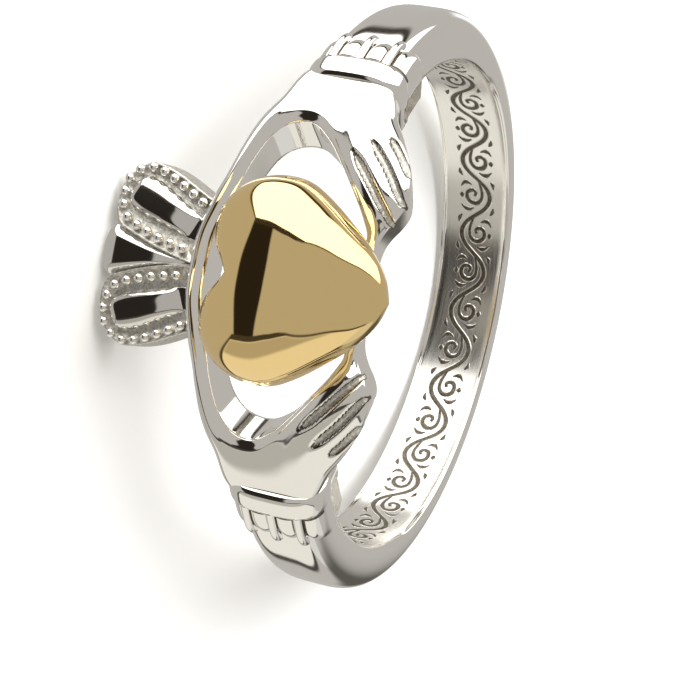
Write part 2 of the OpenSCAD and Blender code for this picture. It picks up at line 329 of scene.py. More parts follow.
def grained_silver():
    """Sterling silver as cast, under the beads: a pale, sparkling grain of about 0.1 mm."""
    look = ring_finish()
    return grained_metal("grained_cast_silver", look.grain_light, look.grain_dark, roughness=0.42,
                         grain_mm=0.09, depth_mm=0.03)


def satin_silver():
    """Sterling silver inside the band: drawn round by a felt stick, so a soft sheen with fine lines.
    The lines are drawn about 0.1 mm apart, coarser than the real ones, so that they show."""
    look = ring_finish()
    material, tree = new_material("satin_sterling_silver")
    if tree:
        lines = metal_noise(tree, size_mm=2.5, detail=3.0, roughness=0.6, closer=24.0)
        low, high = (look.satin + change for change in SATIN_SPREAD)
        gloss = add_node(tree, "ShaderNodeMapRange", {"Value": lines, "To Min": low, "To Max": high})
        end_metal(tree, lines, strength=0.25, depth_mm=0.01,
                  inputs={"Base Color": from_hex(look.silver), "Roughness": gloss})
    return material


def oxide_and_shade_silver():
    """Dull grey-brown: oxide in the scroll's cuts, painted shade in the seams and finger grooves."""
    look = ring_finish()
    return grained_metal("oxide_and_painted_shade_silver", look.engraved, look.oxide_and_shade_pits,
                         roughness=0.45, grain_mm=0.07, depth_mm=0.02)


def polished_gold():
    """Yellow gold of about 14 carats, buffed: a warm mirror."""
    look = ring_finish()
    return polished_metal("polished_yellow_gold", look.gold, look.gold_polish, ripple_mm=1.4,
                          ripple=0.03)


# Band and cuffs

# Band: how many degrees inside a cuff it ends, how square its outside is, how far in mm the edges
# of its bore are eased, and where in mm that easing ends: outward and from the side faces
BAND_UNDER = 2
BAND_SQUARE = 4.2
BAND_EDGE = 0.12
BAND_EDGE_OUT = 0.03
BAND_EDGE_IN = 0.02

# Cuffs: height of their side walls, depth that they are sunk into the band and inset of their lower
# edges in mm, and how square they are
CUFF_SIDE = 1.1
CUFF_SUNK = 0.02
CUFF_INSET = 0.15
CUFF_SQUARE = 3.0

# Collar: angle in degrees that it spans from CUFF_AT, how far in mm its two edges fall and narrow,
# and how square its bullnose is
COLLAR_SPAN = 5.4
COLLAR_FALL = 0.28
COLLAR_NARROWS = 0.3
COLLAR_SQUARE = 3.6

# Sleeve: how many degrees of it are under the collar, how much lower and narrower it is in mm, the
# share of its span that stays level before its panels curve down, and how nearly they curve down to
# the upright, where 1 is a quarter circle
SLEEVE_UNDER = 1
SLEEVE_LOWER = 0.14
SLEEVE_NARROWER = 0.1
SLEEVE_LEVEL = 0.42
SLEEVE_ROUND = 0.97

# How far a sleeve's panels curve down at their far end in mm, how much sooner beside a rib, how deep
# their seams are in mm, and how closely a seam keeps to its rib
SLEEVE_DROP = 0.42
PANEL_ARCH = 0.30
PANEL_PUFF = 0.16
PANEL_PUFF_POWER = 2.5

# Where the painted shade in the seams ends: mm from a rib's middle, degrees from the collar, and
# mm above the bore
SEAM_REACH = 0.23
SEAM_BY_COLLAR = 0.35
SEAM_ABOVE = 1.4

# Ribs: how far their middle is sunk below the panels' tops in mm, their share of the panels' drop,
# the degrees of them under the collar and past the sleeve, and how much wider their round ends are
RIB_SINK = 0.02
RIB_FOLLOW = 0.6
RIB_UNDER = 0.8
RIB_PAST = 0.1
RIB_END = 1.1


def dome_section(height, width, side, square, n):
    """Half section from one lower edge over the top to the other: height and axial place."""
    a = np.linspace(0, math.pi, n + 1)
    c, s = np.cos(a), np.sin(a)
    return np.stack([side + (height - side) * np.abs(s) ** (2 / square),
                     width / 2 * np.sign(c) * np.abs(c) ** (2 / square)], -1)


def band_part(size):
    """Band from cuff to cuff: rounded outside, slightly softened edges at the bore."""
    shift = (size.band_front - size.band_back) / 2
    thick = (size.band_front + size.band_back) / 2
    half = size.band_width / 2
    start = CUFF_AT + BAND_UNDER
    height, place = dome_section(thick, size.band_width, 0, BAND_SQUARE, BAND_STEPS[1]).T
    wall = np.linspace(-half + BAND_EDGE, half - BAND_EDGE, BAND_STEPS[2])
    places = np.r_[place, -half + BAND_EDGE_IN, wall, half - BAND_EDGE_IN]
    eased_r = BORE_R + BAND_EDGE_OUT
    rings = []
    for a in np.radians(np.linspace(start, 360 - start, BAND_STEPS[0])):
        # Distance along this angle to the outer circle, whose centre is set toward the head
        r = BORE_R + np.maximum(height, BAND_EDGE)
        outer = shift * math.cos(a) + np.sqrt(r * r - (shift * math.sin(a)) ** 2)
        r = np.r_[outer, eased_r, np.full(len(wall), BORE_R), eased_r]
        rings.append(np.stack([r * math.sin(a), -r * math.cos(a), places], -1))
    return tube(rings)


def cuff_section(height, width, n):
    """Closed section of a cuff, its two lower edges last: heights and axial places."""
    edge = width / 2 - CUFF_INSET
    dome = dome_section(height, width, CUFF_SIDE, CUFF_SQUARE, n)
    return np.vstack([dome, [[-CUFF_SUNK, -edge], [-CUFF_SUNK, edge]]]).T


def sleeve_drop(share, beside_rib=0.0):
    """How far the sleeve's panels have curved down, by share of its span: sooner beside a rib."""
    t = np.clip((share * (1 + PANEL_ARCH * beside_rib) - SLEEVE_LEVEL) / (1 - SLEEVE_LEVEL), 0, 1)
    return SLEEVE_DROP * (1 - np.sqrt(1 - SLEEVE_ROUND * t * t))


def sleeve_part(size):
    """Ribbed sleeve, panels curving down at the far end, and which seam points get painted shade."""
    start, end = CUFF_AT + COLLAR_SPAN - SLEEVE_UNDER, CUFF_AT + COLLAR_SPAN + size.sleeve_span
    top = size.cuff_height - SLEEVE_LOWER
    height, place = cuff_section(top, size.cuff_width - SLEEVE_NARROWER, SLEEVE_STEPS[1])
    # Panels lie between ribs at whole multiples of the pitch
    from_rib = np.abs((place / size.rib_pitch + 0.5) % 1 - 0.5) * 2
    on_dome = height >= CUFF_SIDE
    seam_depth = PANEL_PUFF * (1 - from_rib) ** PANEL_PUFF_POWER * on_dome
    raised = np.maximum(height - CUFF_SIDE, 0) / (top - CUFF_SIDE)
    rings, seams = [], []
    for a in np.linspace(start, end, SLEEVE_STEPS[0]):
        drop = sleeve_drop((a - start) / (end - start), (1 - from_rib) ** 2)
        rings.append(on_head(a, height - drop * raised - seam_depth, place))
        # Painted shade in the seams: beside each rib and by the collar, high on the sleeve
        by_collar = a < CUFF_AT + COLLAR_SPAN + SEAM_BY_COLLAR
        seams.append((height > SEAM_ABOVE)
                     & ((from_rib * size.rib_pitch / 2 < SEAM_REACH) | by_collar))
    return tube(rings), np.r_[np.concatenate(seams), False, False]


def rib_lines(size):
    """Laid-down middle lines of the ribs on both sleeves."""
    start = CUFF_AT + COLLAR_SPAN - RIB_UNDER
    end = CUFF_AT + COLLAR_SPAN + size.sleeve_span + RIB_PAST
    half = (size.cuff_width - SLEEVE_NARROWER) / 2
    rise = size.cuff_height - SLEEVE_LOWER - CUFF_SIDE
    along = np.linspace(0, 1, RIB_STEPS)
    lines = []
    for side in (-1, 1):
        for place in (-size.rib_pitch, 0, size.rib_pitch):
            lift = CUFF_SIDE + rise * (1 - abs(place / half) ** CUFF_SQUARE) ** (1 / CUFF_SQUARE)
            height = lift - RIB_SINK - RIB_FOLLOW * sleeve_drop(along)
            lines.append(lay_down(on_head(side * (start + (end - start) * along), height, place)))
    return lines


def collar_part(size):
    """Smooth collar with a bullnosed edge on both sides."""
    rings = []
    for t in np.linspace(-1, 1, COLLAR_STEPS[0]):
        less = 1 - math.sqrt(max(0.0, 1 - abs(t) ** COLLAR_SQUARE))
        section = cuff_section(size.cuff_height - COLLAR_FALL * less,
                               size.cuff_width - COLLAR_NARROWS * less, COLLAR_STEPS[1])
        rings.append(on_head(CUFF_AT + COLLAR_SPAN * (1 + t) / 2, *section))
    return tube(rings)


# Hands and arc

# Half of the frame round the opening, from the crown's middle to the heart's tip. Angles are
# shares of CUFF_AT, axial places of HAND_REACH and heights of HAND_H.
# Inner angle, inner place, outer angle, outer place, inner, middle and outer height
FRAME_ROWS = [
    [0.000, -0.869, 0.000, -1.016, 0.89, 0.91, 0.86],
    [0.142, -0.862, 0.153, -1.006, 0.89, 0.91, 0.86],
    [0.276, -0.794, 0.303, -0.944, 0.90, 0.92, 0.86],
    [0.397, -0.731, 0.442, -0.859, 0.90, 0.93, 0.87],
    [0.489, -0.688, 0.566, -0.806, 0.91, 0.95, 0.88],
    [0.579, -0.634, 0.684, -0.756, 0.92, 0.97, 0.88],
    [0.658, -0.569, 0.789, -0.688, 0.94, 1.00, 0.88],
    [0.718, -0.481, 0.900, -0.588, 0.96, 1.02, 0.86],
    [0.758, -0.375, 1.050, -0.490, 0.97, 1.02, 0.96],
    [0.774, -0.244, 1.110, -0.250, 0.98, 1.02, 1.00],
    [0.761, -0.112, 1.110, 0.062, 0.98, 1.02, 1.00],
    [0.718, 0.012, 1.100, 0.344, 0.98, 1.02, 0.98],
    [0.674, 0.112, 1.010, 0.480, 0.97, 1.03, 0.90],
    [0.632, 0.188, 0.882, 0.603, 0.97, 1.04, 0.84],
    [0.587, 0.266, 0.789, 0.734, 0.96, 1.03, 0.83],
    [0.542, 0.344, 0.705, 0.838, 0.95, 1.02, 0.83],
    [0.492, 0.428, 0.621, 0.922, 0.94, 1.00, 0.83],
    [0.439, 0.516, 0.542, 0.975, 0.92, 0.97, 0.82],
    [0.389, 0.588, 0.463, 0.994, 0.86, 0.92, 0.80],
    [0.339, 0.644, 0.389, 0.938, 0.78, 0.82, 0.76],
    [0.290, 0.684, 0.321, 0.850, 0.69, 0.71, 0.69],
    [0.224, 0.672, 0.250, 0.797, 0.64, 0.64, 0.64],
    [0.130, 0.640, 0.140, 0.785, 0.64, 0.64, 0.64],
    [0.000, 0.625, 0.000, 0.780, 0.64, 0.64, 0.64],
]

# Section across the frame, from under the opening's edge round to under the outer edge.
# Share of the width, further distance, share of the height, share of the doming
SECTION_ROWS = [
    [0.00, -0.10, 0.00, 0.0],
    [0.00, -0.10, 0.78, 0.0],
    [0.00, -0.08, 0.87, 0.0],
    [0.00, -0.02, 0.915, 0.0],
    [0.01, 0.08, 0.955, 0.0],
    [0.02, 0.17, 0.985, 0.1],
    [0.12, 0.17, 1.00, 0.4],
    [0.30, 0.11, 1.00, 0.85],
    [0.52, 0.05, 1.00, 1.0],
    [0.74, 0.01, 1.00, 0.75],
    [0.90, 0.00, 0.985, 0.3],
    [0.98, 0.00, 0.93, 0.0],
    [1.00, 0.00, 0.80, 0.0],
    [0.97, 0.00, 0.45, 0.0],
    [0.90, 0.00, 0.00, 0.0],
]

# Grooves between the fingers: angle and place at the knuckle, at the middle and at the tip, in
# degrees and millimetres, with the groove's half width
FINGER_GROOVES = [
    [24.1, 1.17, 19.1, 2.00, 13.8, 2.82, 0.20],
    [26.9, 1.56, 22.2, 2.38, 17.2, 3.06, 0.20],
    [28.6, 2.06, 25.8, 2.53, 22.6, 2.96, 0.18],
]

# Where along a groove it opens and closes, as shares of its length; how much shallower and narrower
# it ends; and from where to where on the hand's side, as shares of its height, it fades
GROOVE_OPENS = (-0.05, 0.28)
GROOVE_CLOSES = (0.8, 1.0)
GROOVE_SHALLOWER = 0.25
GROOVE_NARROWER = 0.55
GROOVE_FADES = (0.55, 0.8)

# How deep in a groove, as shares of its depth, its painted shade and its grained floor start
GROOVE_SHADE_FROM = 0.10
GROOVE_GRAIN_FROM = 0.36

# How much narrower the opening's bevel is beside the fingers, and the places between which it narrows
BEVEL_LESS = 0.5
BEVEL_NARROWS = (-0.1, 0.3)

# Angles in degrees between which the hollow under the head runs out, how far in mm the hands are
# sunk into the band past it, and over how many rows the frame's outline and its section are eased
HOLLOW_ENDS = (26, 37)
HAND_SUNK = 0.02
EASE_OUTLINE = 6
EASE_SECTION = 18


def groove_depth(phi, place, row):
    """How deep a groove is at points of the hand, by distance to its line and by its taper."""
    x, y = np.radians(phi) * HEAD_R, place
    knots = np.array(row[:6]).reshape(3, 2)
    knots[:, 0] = np.radians(knots[:, 0]) * HEAD_R
    line = smooth(knots, GROOVE_STEPS)
    best = np.full(x.shape, np.inf)
    share = np.zeros(x.shape)
    for k in range(len(line) - 1):
        a, d = line[k], line[k + 1] - line[k]
        t = np.clip(((x - a[0]) * d[0] + (y - a[1]) * d[1]) / (d @ d), 0, 1)
        gap = np.hypot(x - a[0] - t * d[0], y - a[1] - t * d[1])
        share = np.where(gap < best, (k + t) / (len(line) - 1), share)
        best = np.minimum(gap, best)
    taper = step(*GROOVE_OPENS, share) * (1 - GROOVE_SHALLOWER * step(*GROOVE_CLOSES, share))
    width = row[6] * (1 - GROOVE_NARROWER * (1 - taper))
    return taper * np.maximum(0, 1 - (best / width) ** 2) ** 2


def hands_part(size):
    """Frame round the opening: arc, hands and bridge; and the share of groove at each point."""
    half = smooth(FRAME_ROWS, FRAME_STEPS)
    across, further, up, domed = smooth(SECTION_ROWS, SECTION_STEPS).T
    turn = math.radians(CUFF_AT) * HEAD_R
    half[1:-1, :4] = eased(half[:, :4], EASE_OUTLINE)[1:-1]
    inners, outers = (half[:, k:k + 2] * (turn, HAND_REACH) for k in (0, 2))
    ways = eased(outers - inners, EASE_SECTION)
    ways /= np.linalg.norm(ways, axis=1)[:, None]
    heights = HAND_H * eased(half[:, 4:], EASE_SECTION)
    rings, cuts = [], []
    for inner, outer, way, row, (low, middle, high) in zip(inners, outers, ways, half, heights):
        bevel = 1 - BEVEL_LESS * step(*BEVEL_NARROWS, row[1])
        flat = inner + across[:, None] * (outer - inner) + further[:, None] * way * bevel
        phi, place = np.degrees(flat[:, 0] / HEAD_R), flat[:, 1]
        top = low + (high - low) * across + (middle - (low + high) / 2) * domed
        under = HOLLOW - (HOLLOW + HAND_SUNK) * step(*HOLLOW_ENDS, phi)
        cut = np.max([groove_depth(phi, place, groove) for groove in FINGER_GROOVES], axis=0)
        cut = cut * step(*GROOVE_FADES, up)
        rings.append(on_head(phi, under + (top - under) * up - size.groove_depth * cut, place))
        cuts.append(cut)
    rings += [ring * (-1, 1, 1) for ring in rings[-2:0:-1]]
    cuts += cuts[-2:0:-1]
    rings = np.array(rings)
    m, n, _ = rings.shape
    part = rings.reshape(-1, 3), grid_faces(m, n, wrap_rows=True, wrap_cols=True)
    return part, np.concatenate(cuts)


# Lugs under the heart: middle across and along, half sizes and height of their tops in mm
SEAT_AT = (1.75, -2.25)
SEAT_HALF = (0.45, 0.4)
SEAT_TOP = 1.28


def seats_part():
    """Two small lugs under the heart's lobes."""
    x, z = SEAT_AT[0], SEAT_AT[1] + HEAD_SHIFT
    corners = [[x + sx * SEAT_HALF[0], -(BORE_R + h), z + sz * SEAT_HALF[1]]
               for h in (HOLLOW, SEAT_TOP) for sz in (-1, 1) for sx in (-1, 1)]
    faces = [[0, 1, 3, 2], [4, 6, 7, 5], [0, 4, 5, 1], [2, 3, 7, 6], [0, 2, 6, 4], [1, 5, 7, 3]]
    return mirrored((np.array(corners), faces))


# Crown

# Outlines as shares of CROWN_W / 2 and CROWN_REACH: across, along
PETAL_ROWS = [
    [0.685, -0.445], [0.719, -0.478], [0.808, -0.571], [0.918, -0.683], [0.993, -0.797],
    [1.000, -0.870], [0.914, -0.935], [0.764, -0.984], [0.589, -1.000], [0.455, -0.997],
    [0.342, -0.978], [0.270, -0.950], [0.190, -0.862], [0.106, -0.748], [0.040, -0.620],
    [0.005, -0.530], [0.000, -0.475], [0.340, -0.465],
]
PETAL_FACE_ROWS = [
    [0.255, -0.520], [0.305, -0.640], [0.363, -0.750], [0.435, -0.868], [0.515, -0.928],
    [0.640, -0.944], [0.770, -0.925], [0.850, -0.865], [0.800, -0.770], [0.700, -0.675],
    [0.590, -0.585], [0.478, -0.508], [0.360, -0.492],
]
WEDGE_FACE_HALF_ROWS = [
    [0.000, -0.520], [0.045, -0.620], [0.115, -0.748], [0.195, -0.862], [0.262, -0.955],
    [0.268, -0.990], [0.215, -1.014], [0.110, -1.030], [0.000, -1.035],
]
BEAD_ROWS = [
    [0.668, -0.528], [0.815, -0.665], [0.930, -0.797], [0.935, -0.886], [0.822, -0.955],
    [0.651, -0.972], [0.480, -0.955], [0.350, -0.910], [0.274, -0.820], [0.205, -0.715],
    [0.148, -0.585],
]

# Top of the petals' rims in mm above the bore, where their underside is above the hollow, how far
# in mm their floor is sunk and their outer edge eased, and the width of a rim: in mm and at most as
# a share of the way to the face
PLATE_TOP = 1.68
PLATE_UNDER = 0.1
FLOOR_SUNK = 0.10
PLATE_EDGE = 0.06
RIM_WIDTH = 0.10
RIM_MOST = 0.45

# Petal: where the flat of its rim starts and ends and where its floor starts, in widths of a rim from
# the outline; where the floor ends, in widths of a rim from the face; and the rings that close it
# under the panel, as shares of the way from the face to its middle
RIM_FLAT = (0.3, 0.8)
FLOOR_FROM = 1.2
FLOOR_TO = 0.6
PLATE_CLOSING = (0.2, 0.7)

# Panels: height of their foot, height of their shoulder, rise of their top above it, and how far
# in mm their ends round over
PETAL_PANEL = (1.42, 1.56, 0.26, 0.36)
WEDGE_PANEL = (0.9, 1.44, 0.30, 0.62)

# Size of a panel's foot as a share of its face, height of its upright wall and of the lip over it in
# mm, how square its top is across and its ends are along, its least rise in mm, and how much its
# half beside the arc bends down: mm of fall at 1 mm from its middle. Then the size of the first and
# the last ring of its top, as shares of the face
PANEL_FOOT = 0.93
PANEL_WALL = 0.12
PANEL_LIP = 0.03
PANEL_SQUARE = 4.6
PANEL_END_SQUARE = 2.3
PANEL_LEAST = 0.02
PANEL_BEND = 0.20
PANEL_TOP_RINGS = (0.99, 0.02)


def crown_points(rows):
    """Rows of shares as places across and along the crown in mm."""
    return np.asarray(rows, float) * (CROWN_W / 2, CROWN_REACH)


def both_halves(rows):
    """Rows of one half, then their mirror image back to the first."""
    rows = np.asarray(rows, float)
    return np.vstack([rows, rows[-2:0:-1] * (-1, 1)])


def by_angle(loop, middle):
    """A closed loop read at equal angles round a point inside it."""
    x, y = (loop - middle).T
    angle, reach = np.arctan2(y, x), np.hypot(x, y)
    order = np.argsort(angle)
    angle, reach = angle[order], reach[order]
    at = np.linspace(-math.pi, math.pi, LOOP_POINTS, endpoint=False)
    r = np.interp(at, np.r_[angle - 2 * math.pi, angle, angle + 2 * math.pi], np.tile(reach, 3))
    return middle + np.stack([np.cos(at), np.sin(at)], -1) * r[:, None]


def plate_part(outline, face):
    """A petal: wall, thin raised rim, sunk floor round the face, closed under the cushion."""
    middle = face.mean(0)
    a, b = by_angle(outline, middle), by_angle(face, middle)
    gap = np.linalg.norm(a - b, axis=1)[:, None]
    rim = np.clip(RIM_WIDTH / np.maximum(gap, 1e-6), 0, RIM_MOST)
    floor = PLATE_TOP - FLOOR_SUNK
    # Shares of the way from the outline to the face, with heights
    rows = [(0, HOLLOW + PLATE_UNDER), (0, PLATE_TOP - PLATE_EDGE)]
    rows += [(share * rim, PLATE_TOP) for share in RIM_FLAT]
    rows += [(FLOOR_FROM * rim, floor), (1 - FLOOR_TO * rim, floor)]
    rows = [(a + (b - a) * share, h) for share, h in rows]
    rows += [(b + (middle - b) * share, floor) for share in PLATE_CLOSING]
    return tube([across_head(place[:, 0], h, place[:, 1]) for place, h in rows])


def panel_height(loop, place, dome, end_round):
    """Height of a panel's top in mm: flat in the middle, rounded over at its sides and its ends."""
    long_axis = np.linalg.svd(loop - loop.mean(0), full_matrices=False)[2][0]
    cross_axis = np.array([-long_axis[1], long_axis[0]])
    along, across = loop @ long_axis, loop @ cross_axis
    start, end = along.argmin(), along.argmax()
    chains = []
    for first, last in ((start, end), (end, start)):
        index = np.arange(first, last + 1 if last > first else last + 1 + len(loop)) % len(loop)
        order = index[np.argsort(along[index])]
        chains.append((along[order], across[order]))
    at, off = place @ long_axis, place @ cross_axis
    edges = [np.interp(at, *chain) for chain in chains]
    half = np.maximum(np.abs(edges[0] - edges[1]) / 2, 1e-3)
    share = np.clip(np.abs(off - (edges[0] + edges[1]) / 2) / half, 0, 1)
    to_end = np.clip(np.minimum(at - along[start], along[end] - at) / end_round, 0, 1)
    inward = np.sign(long_axis[1]) * (at - (along[start] + along[end]) / 2)
    rise = np.maximum(dome - PANEL_BEND * np.maximum(inward, 0) ** 2, PANEL_LEAST)
    return rise * (1 - share ** PANEL_SQUARE) * (1 - (1 - to_end) ** PANEL_END_SQUARE)


def cushion_part(face, low, base, dome, end_round):
    """Polished panel: wall from low to base, leaning out a little, then a swelling top."""
    middle = face.mean(0)
    way = by_angle(face, middle) - middle
    full = np.ones(LOOP_POINTS)
    rows = [(PANEL_FOOT, low * full), (1.0, (base - PANEL_WALL) * full), (1.0, base * full)]
    for share in np.linspace(*PANEL_TOP_RINGS, PANEL_RINGS):
        top = panel_height(middle + way, middle + way * share, dome, end_round)
        rows.append((share, base + PANEL_LIP + top))
    rings = []
    for share, height in rows:
        place = middle + way * share
        rings.append(across_head(place[:, 0], height, place[:, 1]))
    return tube(rings)


# Heart

# Half of the heart's widest line, as shares of HEART_W / 2: across, along
HEART_ROWS = [
    [0.000, -0.450], [0.118, -0.575], [0.294, -0.681], [0.495, -0.706], [0.681, -0.656],
    [0.842, -0.526], [0.954, -0.341], [1.000, -0.124], [0.975, 0.108], [0.851, 0.341],
    [0.666, 0.588], [0.449, 0.836], [0.223, 1.006], [0.000, 1.084],
]

# Widest line above the bore in mm, and the wall under it from the underside up, by share of that
# line and height; then, in the same shares as the rows, where the face is highest, where its lobes'
# back edge starts and how far that edge runs once the notch has faded
HEART_WIDEST = 1.82
HEART_WALL = [(0.93, 1.32), (0.955, 1.40), (0.985, 1.57), (0.997, 1.72)]
HEART_TOP = np.array([0.0, 0.0])
HEART_LOBES_FROM = -0.124
HEART_LOBES_RUN = 0.536

# How square the puffed face is along and across, how round its edge is, how closely its height
# follows its width toward the tip, from where to where the notch fades, how far the halves blend,
# how closely the rings of its mesh crowd at the edge, and the angle of the last one, where 90 is the
# middle
HEART_POWER_ALONG = 2.7
HEART_POWER_ACROSS = 3.3
HEART_EDGE = 0.5
HEART_TIP_FALL = 0.85
HEART_NOTCH_FADE = (0.1, 0.55)
HEART_BLEND = 0.2
HEART_CROWDING = 0.85
HEART_LAST_RING = 89.5


def lobe_rise(outline, scale):
    """Height of the face, 0 to 1, on the outline drawn in by a scale: right for the lobes."""
    way = outline - HEART_TOP
    across = way[:, 0] ** 2 / (way ** 2).sum(1)
    fall = across * scale ** HEART_POWER_ACROSS + (1 - across) * scale ** HEART_POWER_ALONG
    return (1 - fall) ** HEART_EDGE


def tip_rise(half, place):
    """Height of the face, 0 to 1, from its width at each place along: right for the tip."""
    width = np.interp(place[:, 1], half[:, 1], half[:, 0])
    widest = np.interp(HEART_TOP[1], half[:, 1], half[:, 0])
    share = np.clip(np.abs(place[:, 0]) / np.maximum(width, 1e-6), 0, 1)
    return (width / widest) ** HEART_TIP_FALL * (1 - share ** HEART_POWER_ACROSS) ** HEART_EDGE


def heart_part(size):
    """Puffed heart: broad across, falling in a straight ridge to the tip, with a short notch."""
    side = smooth(HEART_ROWS, HEART_STEPS)
    outline = both_halves(side)
    tip_side = side[side[:, 1] >= HEART_TOP[1] - HEART_BLEND]
    egg = outline.copy()
    back = outline[:, 1] < HEART_LOBES_FROM
    lobes = np.sqrt(np.maximum(0, 1 - outline[back, 0] ** 2))
    egg[back, 1] = HEART_LOBES_FROM - HEART_LOBES_RUN * lobes
    rows = list(HEART_WALL)
    for a in np.radians(np.linspace(0, HEART_LAST_RING, HEART_RINGS)):
        scale = math.cos(a) ** HEART_CROWDING
        place = HEART_TOP + (outline - HEART_TOP) * scale
        share = step(HEART_TOP[1], HEART_TOP[1] + HEART_BLEND, place[:, 1])
        rise = lobe_rise(outline, scale) * (1 - share) + tip_rise(tip_side, place) * share
        rows.append((scale, HEART_WIDEST + size.heart_rise * rise))
    rings = []
    for scale, height in rows:
        soft = outline + (egg - outline) * step(*HEART_NOTCH_FADE, 1 - scale)
        x, z = ((HEART_TOP + (soft - HEART_TOP) * scale) * HEART_W / 2).T
        y = np.broadcast_to(-(BORE_R + height), x.shape)
        rings.append(np.stack([x, y, z + HEAD_SHIFT], -1))
    return tube(rings)


# Repeats, made by node trees


def new_tree(name, **inputs):
    """A geometry node tree, a short way to add its nodes, and its named inputs by kind."""
    old = bpy.data.node_groups.get(name)
    if old:
        bpy.data.node_groups.remove(old)
    tree = bpy.data.node_groups.new(name, "GeometryNodeTree")
    tree.interface.new_socket("Geometry", in_out="OUTPUT", socket_type="NodeSocketGeometry")
    for label, kind in {"Geometry": "Geometry", **inputs}.items():
        tree.interface.new_socket(label, in_out="INPUT", socket_type="NodeSocket" + kind)
    add = partial(add_node, tree)
    return tree, add, add("NodeGroupInput").outputs


def real_and_painted(add, geometry, material):
    """The last two nodes of a strand: its instances made real, its material set."""
    real = add("GeometryNodeRealizeInstances", {"Geometry": geometry})
    return add("GeometryNodeSetMaterial", {"Geometry": real, "Material": material})


def line_object(name, lines):
    """A helper object whose edges follow lines of points in metres."""
    points, edges = [], []
    for line in lines:
        base = len(points)
        points += [tuple(point) for point in line]
        edges += [(base + k, base + k + 1) for k in range(len(line) - 1)]
    mesh = bpy.data.meshes.new(name)
    mesh.from_pydata(points, edges, [])
    return linked(name, mesh)


def grown(helper, tree, values, name, node="silver_ring"):
    """Runs a node tree on a helper and keeps the result as a plain mesh piece."""
    modifier = helper.modifiers.new("grow", "NODES")
    modifier.node_group = tree
    for item in tree.interface.items_tree:
        if item.in_out == "INPUT" and item.name in values:
            modifier[item.identifier] = values[item.name]
    bpy.context.view_layer.update()
    evaluated = helper.evaluated_get(bpy.context.evaluated_depsgraph_get())
    mesh = bpy.data.meshes.new_from_object(evaluated)
    mesh.name = name
    bpy.data.objects.remove(helper)
    mesh.polygons.foreach_set("use_smooth", [True] * len(mesh.polygons))
    return finished(linked(name, mesh), node)


def bead_tree():
    """Balls set at even spacing along each line."""
    tree, add, given = new_tree("BeadsAlongLine", Count="Int", Radius="Float", Material="Material")
    curve = add("GeometryNodeMeshToCurve", {"Mesh": given["Geometry"]})
    spots = add("GeometryNodeCurveToPoints", {"Curve": curve, "Count": given["Count"]}, mode="COUNT")
    ball = add("GeometryNodeMeshUVSphere", {"Radius": given["Radius"], **BEAD_BALL})
    laid = add("GeometryNodeInstanceOnPoints", {"Points": spots, "Instance": ball})
    add("NodeGroupOutput", {"Geometry": real_and_painted(add, laid, given["Material"])})
    return tree


def rod_tree():
    """A round rod along each line, with rounded ends."""
    tree, add, given = new_tree(
        "RodsAlongLine", Radius="Float", Ends="Float", Sides="Int", Material="Material")
    curve = add("GeometryNodeMeshToCurve", {"Mesh": given["Geometry"]})
    ring = add("GeometryNodeCurvePrimitiveCircle",
               {"Radius": given["Radius"], "Resolution": given["Sides"]})
    rod = add("GeometryNodeCurveToMesh", {"Curve": curve, "Profile Curve": ring, "Fill Caps": True})
    ends = add("GeometryNodeCurveEndpointSelection")
    spots = add("GeometryNodeCurveToPoints", {"Curve": curve}, mode="EVALUATED")
    ball = add("GeometryNodeMeshUVSphere", {"Radius": given["Ends"], **RIB_BALL})
    laid = add("GeometryNodeInstanceOnPoints",
               {"Points": spots, "Selection": ends, "Instance": ball})
    both = add("GeometryNodeJoinGeometry", {"Geometry": [rod, laid]})
    add("NodeGroupOutput", {"Geometry": real_and_painted(add, both, given["Material"])})
    return tree


# Engraved scroll inside the band

# One wave of the scroll, worked out flat: along the band and across it in mm. Each stroke has its
# points and its widths at start, middle and end.
SCROLL_PITCH = 1.56
SCROLL_STROKES = [
    ([[0.00, 0.00], [0.26, 0.30], [0.52, 0.48], [0.78, 0.54], [1.04, 0.48], [1.30, 0.30],
      [1.56, 0.00]], (0.17, 0.20, 0.17)),
    ([[0.14, 0.10], [0.34, 0.16], [0.60, 0.22], [0.88, 0.19], [1.06, 0.02], [1.05, -0.22],
      [0.87, -0.38], [0.63, -0.36], [0.53, -0.18], [0.62, -0.03], [0.77, -0.08]],
     (0.10, 0.19, 0.13)),
    ([[0.30, -0.20], [0.22, -0.36], [0.25, -0.52], [0.42, -0.64]], (0.04, 0.19, 0.04)),
    ([[1.27, -0.10], [1.36, -0.28], [1.33, -0.46], [1.18, -0.62]], (0.04, 0.19, 0.04)),
    ([[0.68, -0.60], [0.79, -0.60], [0.90, -0.60]], (0.06, 0.21, 0.06)),
    ([[0.06, 0.56], [0.20, 0.66], [0.38, 0.68]], (0.04, 0.17, 0.04)),
    ([[1.50, 0.56], [1.36, 0.66], [1.18, 0.68]], (0.04, 0.17, 0.04)),
]

# Sections of a stroke, as half width in shares of the stroke's and half height in mm, with the
# number of their points and the material that they take: the oxidised cut, then its bright edge
SCROLL_SECTIONS = [(0.5, 0.12, 12, "Cut"), (0.62, 0.085, 8, "Edge")]


def scroll_motif(name):
    """A helper object that holds one flat wave of the scroll, with a width at each point."""
    lines, widths = [], []
    for rows, stroke in SCROLL_STROKES:
        line = smooth(rows, SCROLL_STEPS)
        lines.append(np.c_[line, np.zeros(len(line))] * MM)
        widths += np.interp(np.linspace(0, 1, len(line)), (0, 0.5, 1), stroke).tolist()
    motif = line_object(name, lines)
    width = motif.data.attributes.new("stroke", "FLOAT", "POINT")
    width.data.foreach_set("value", widths)
    return motif


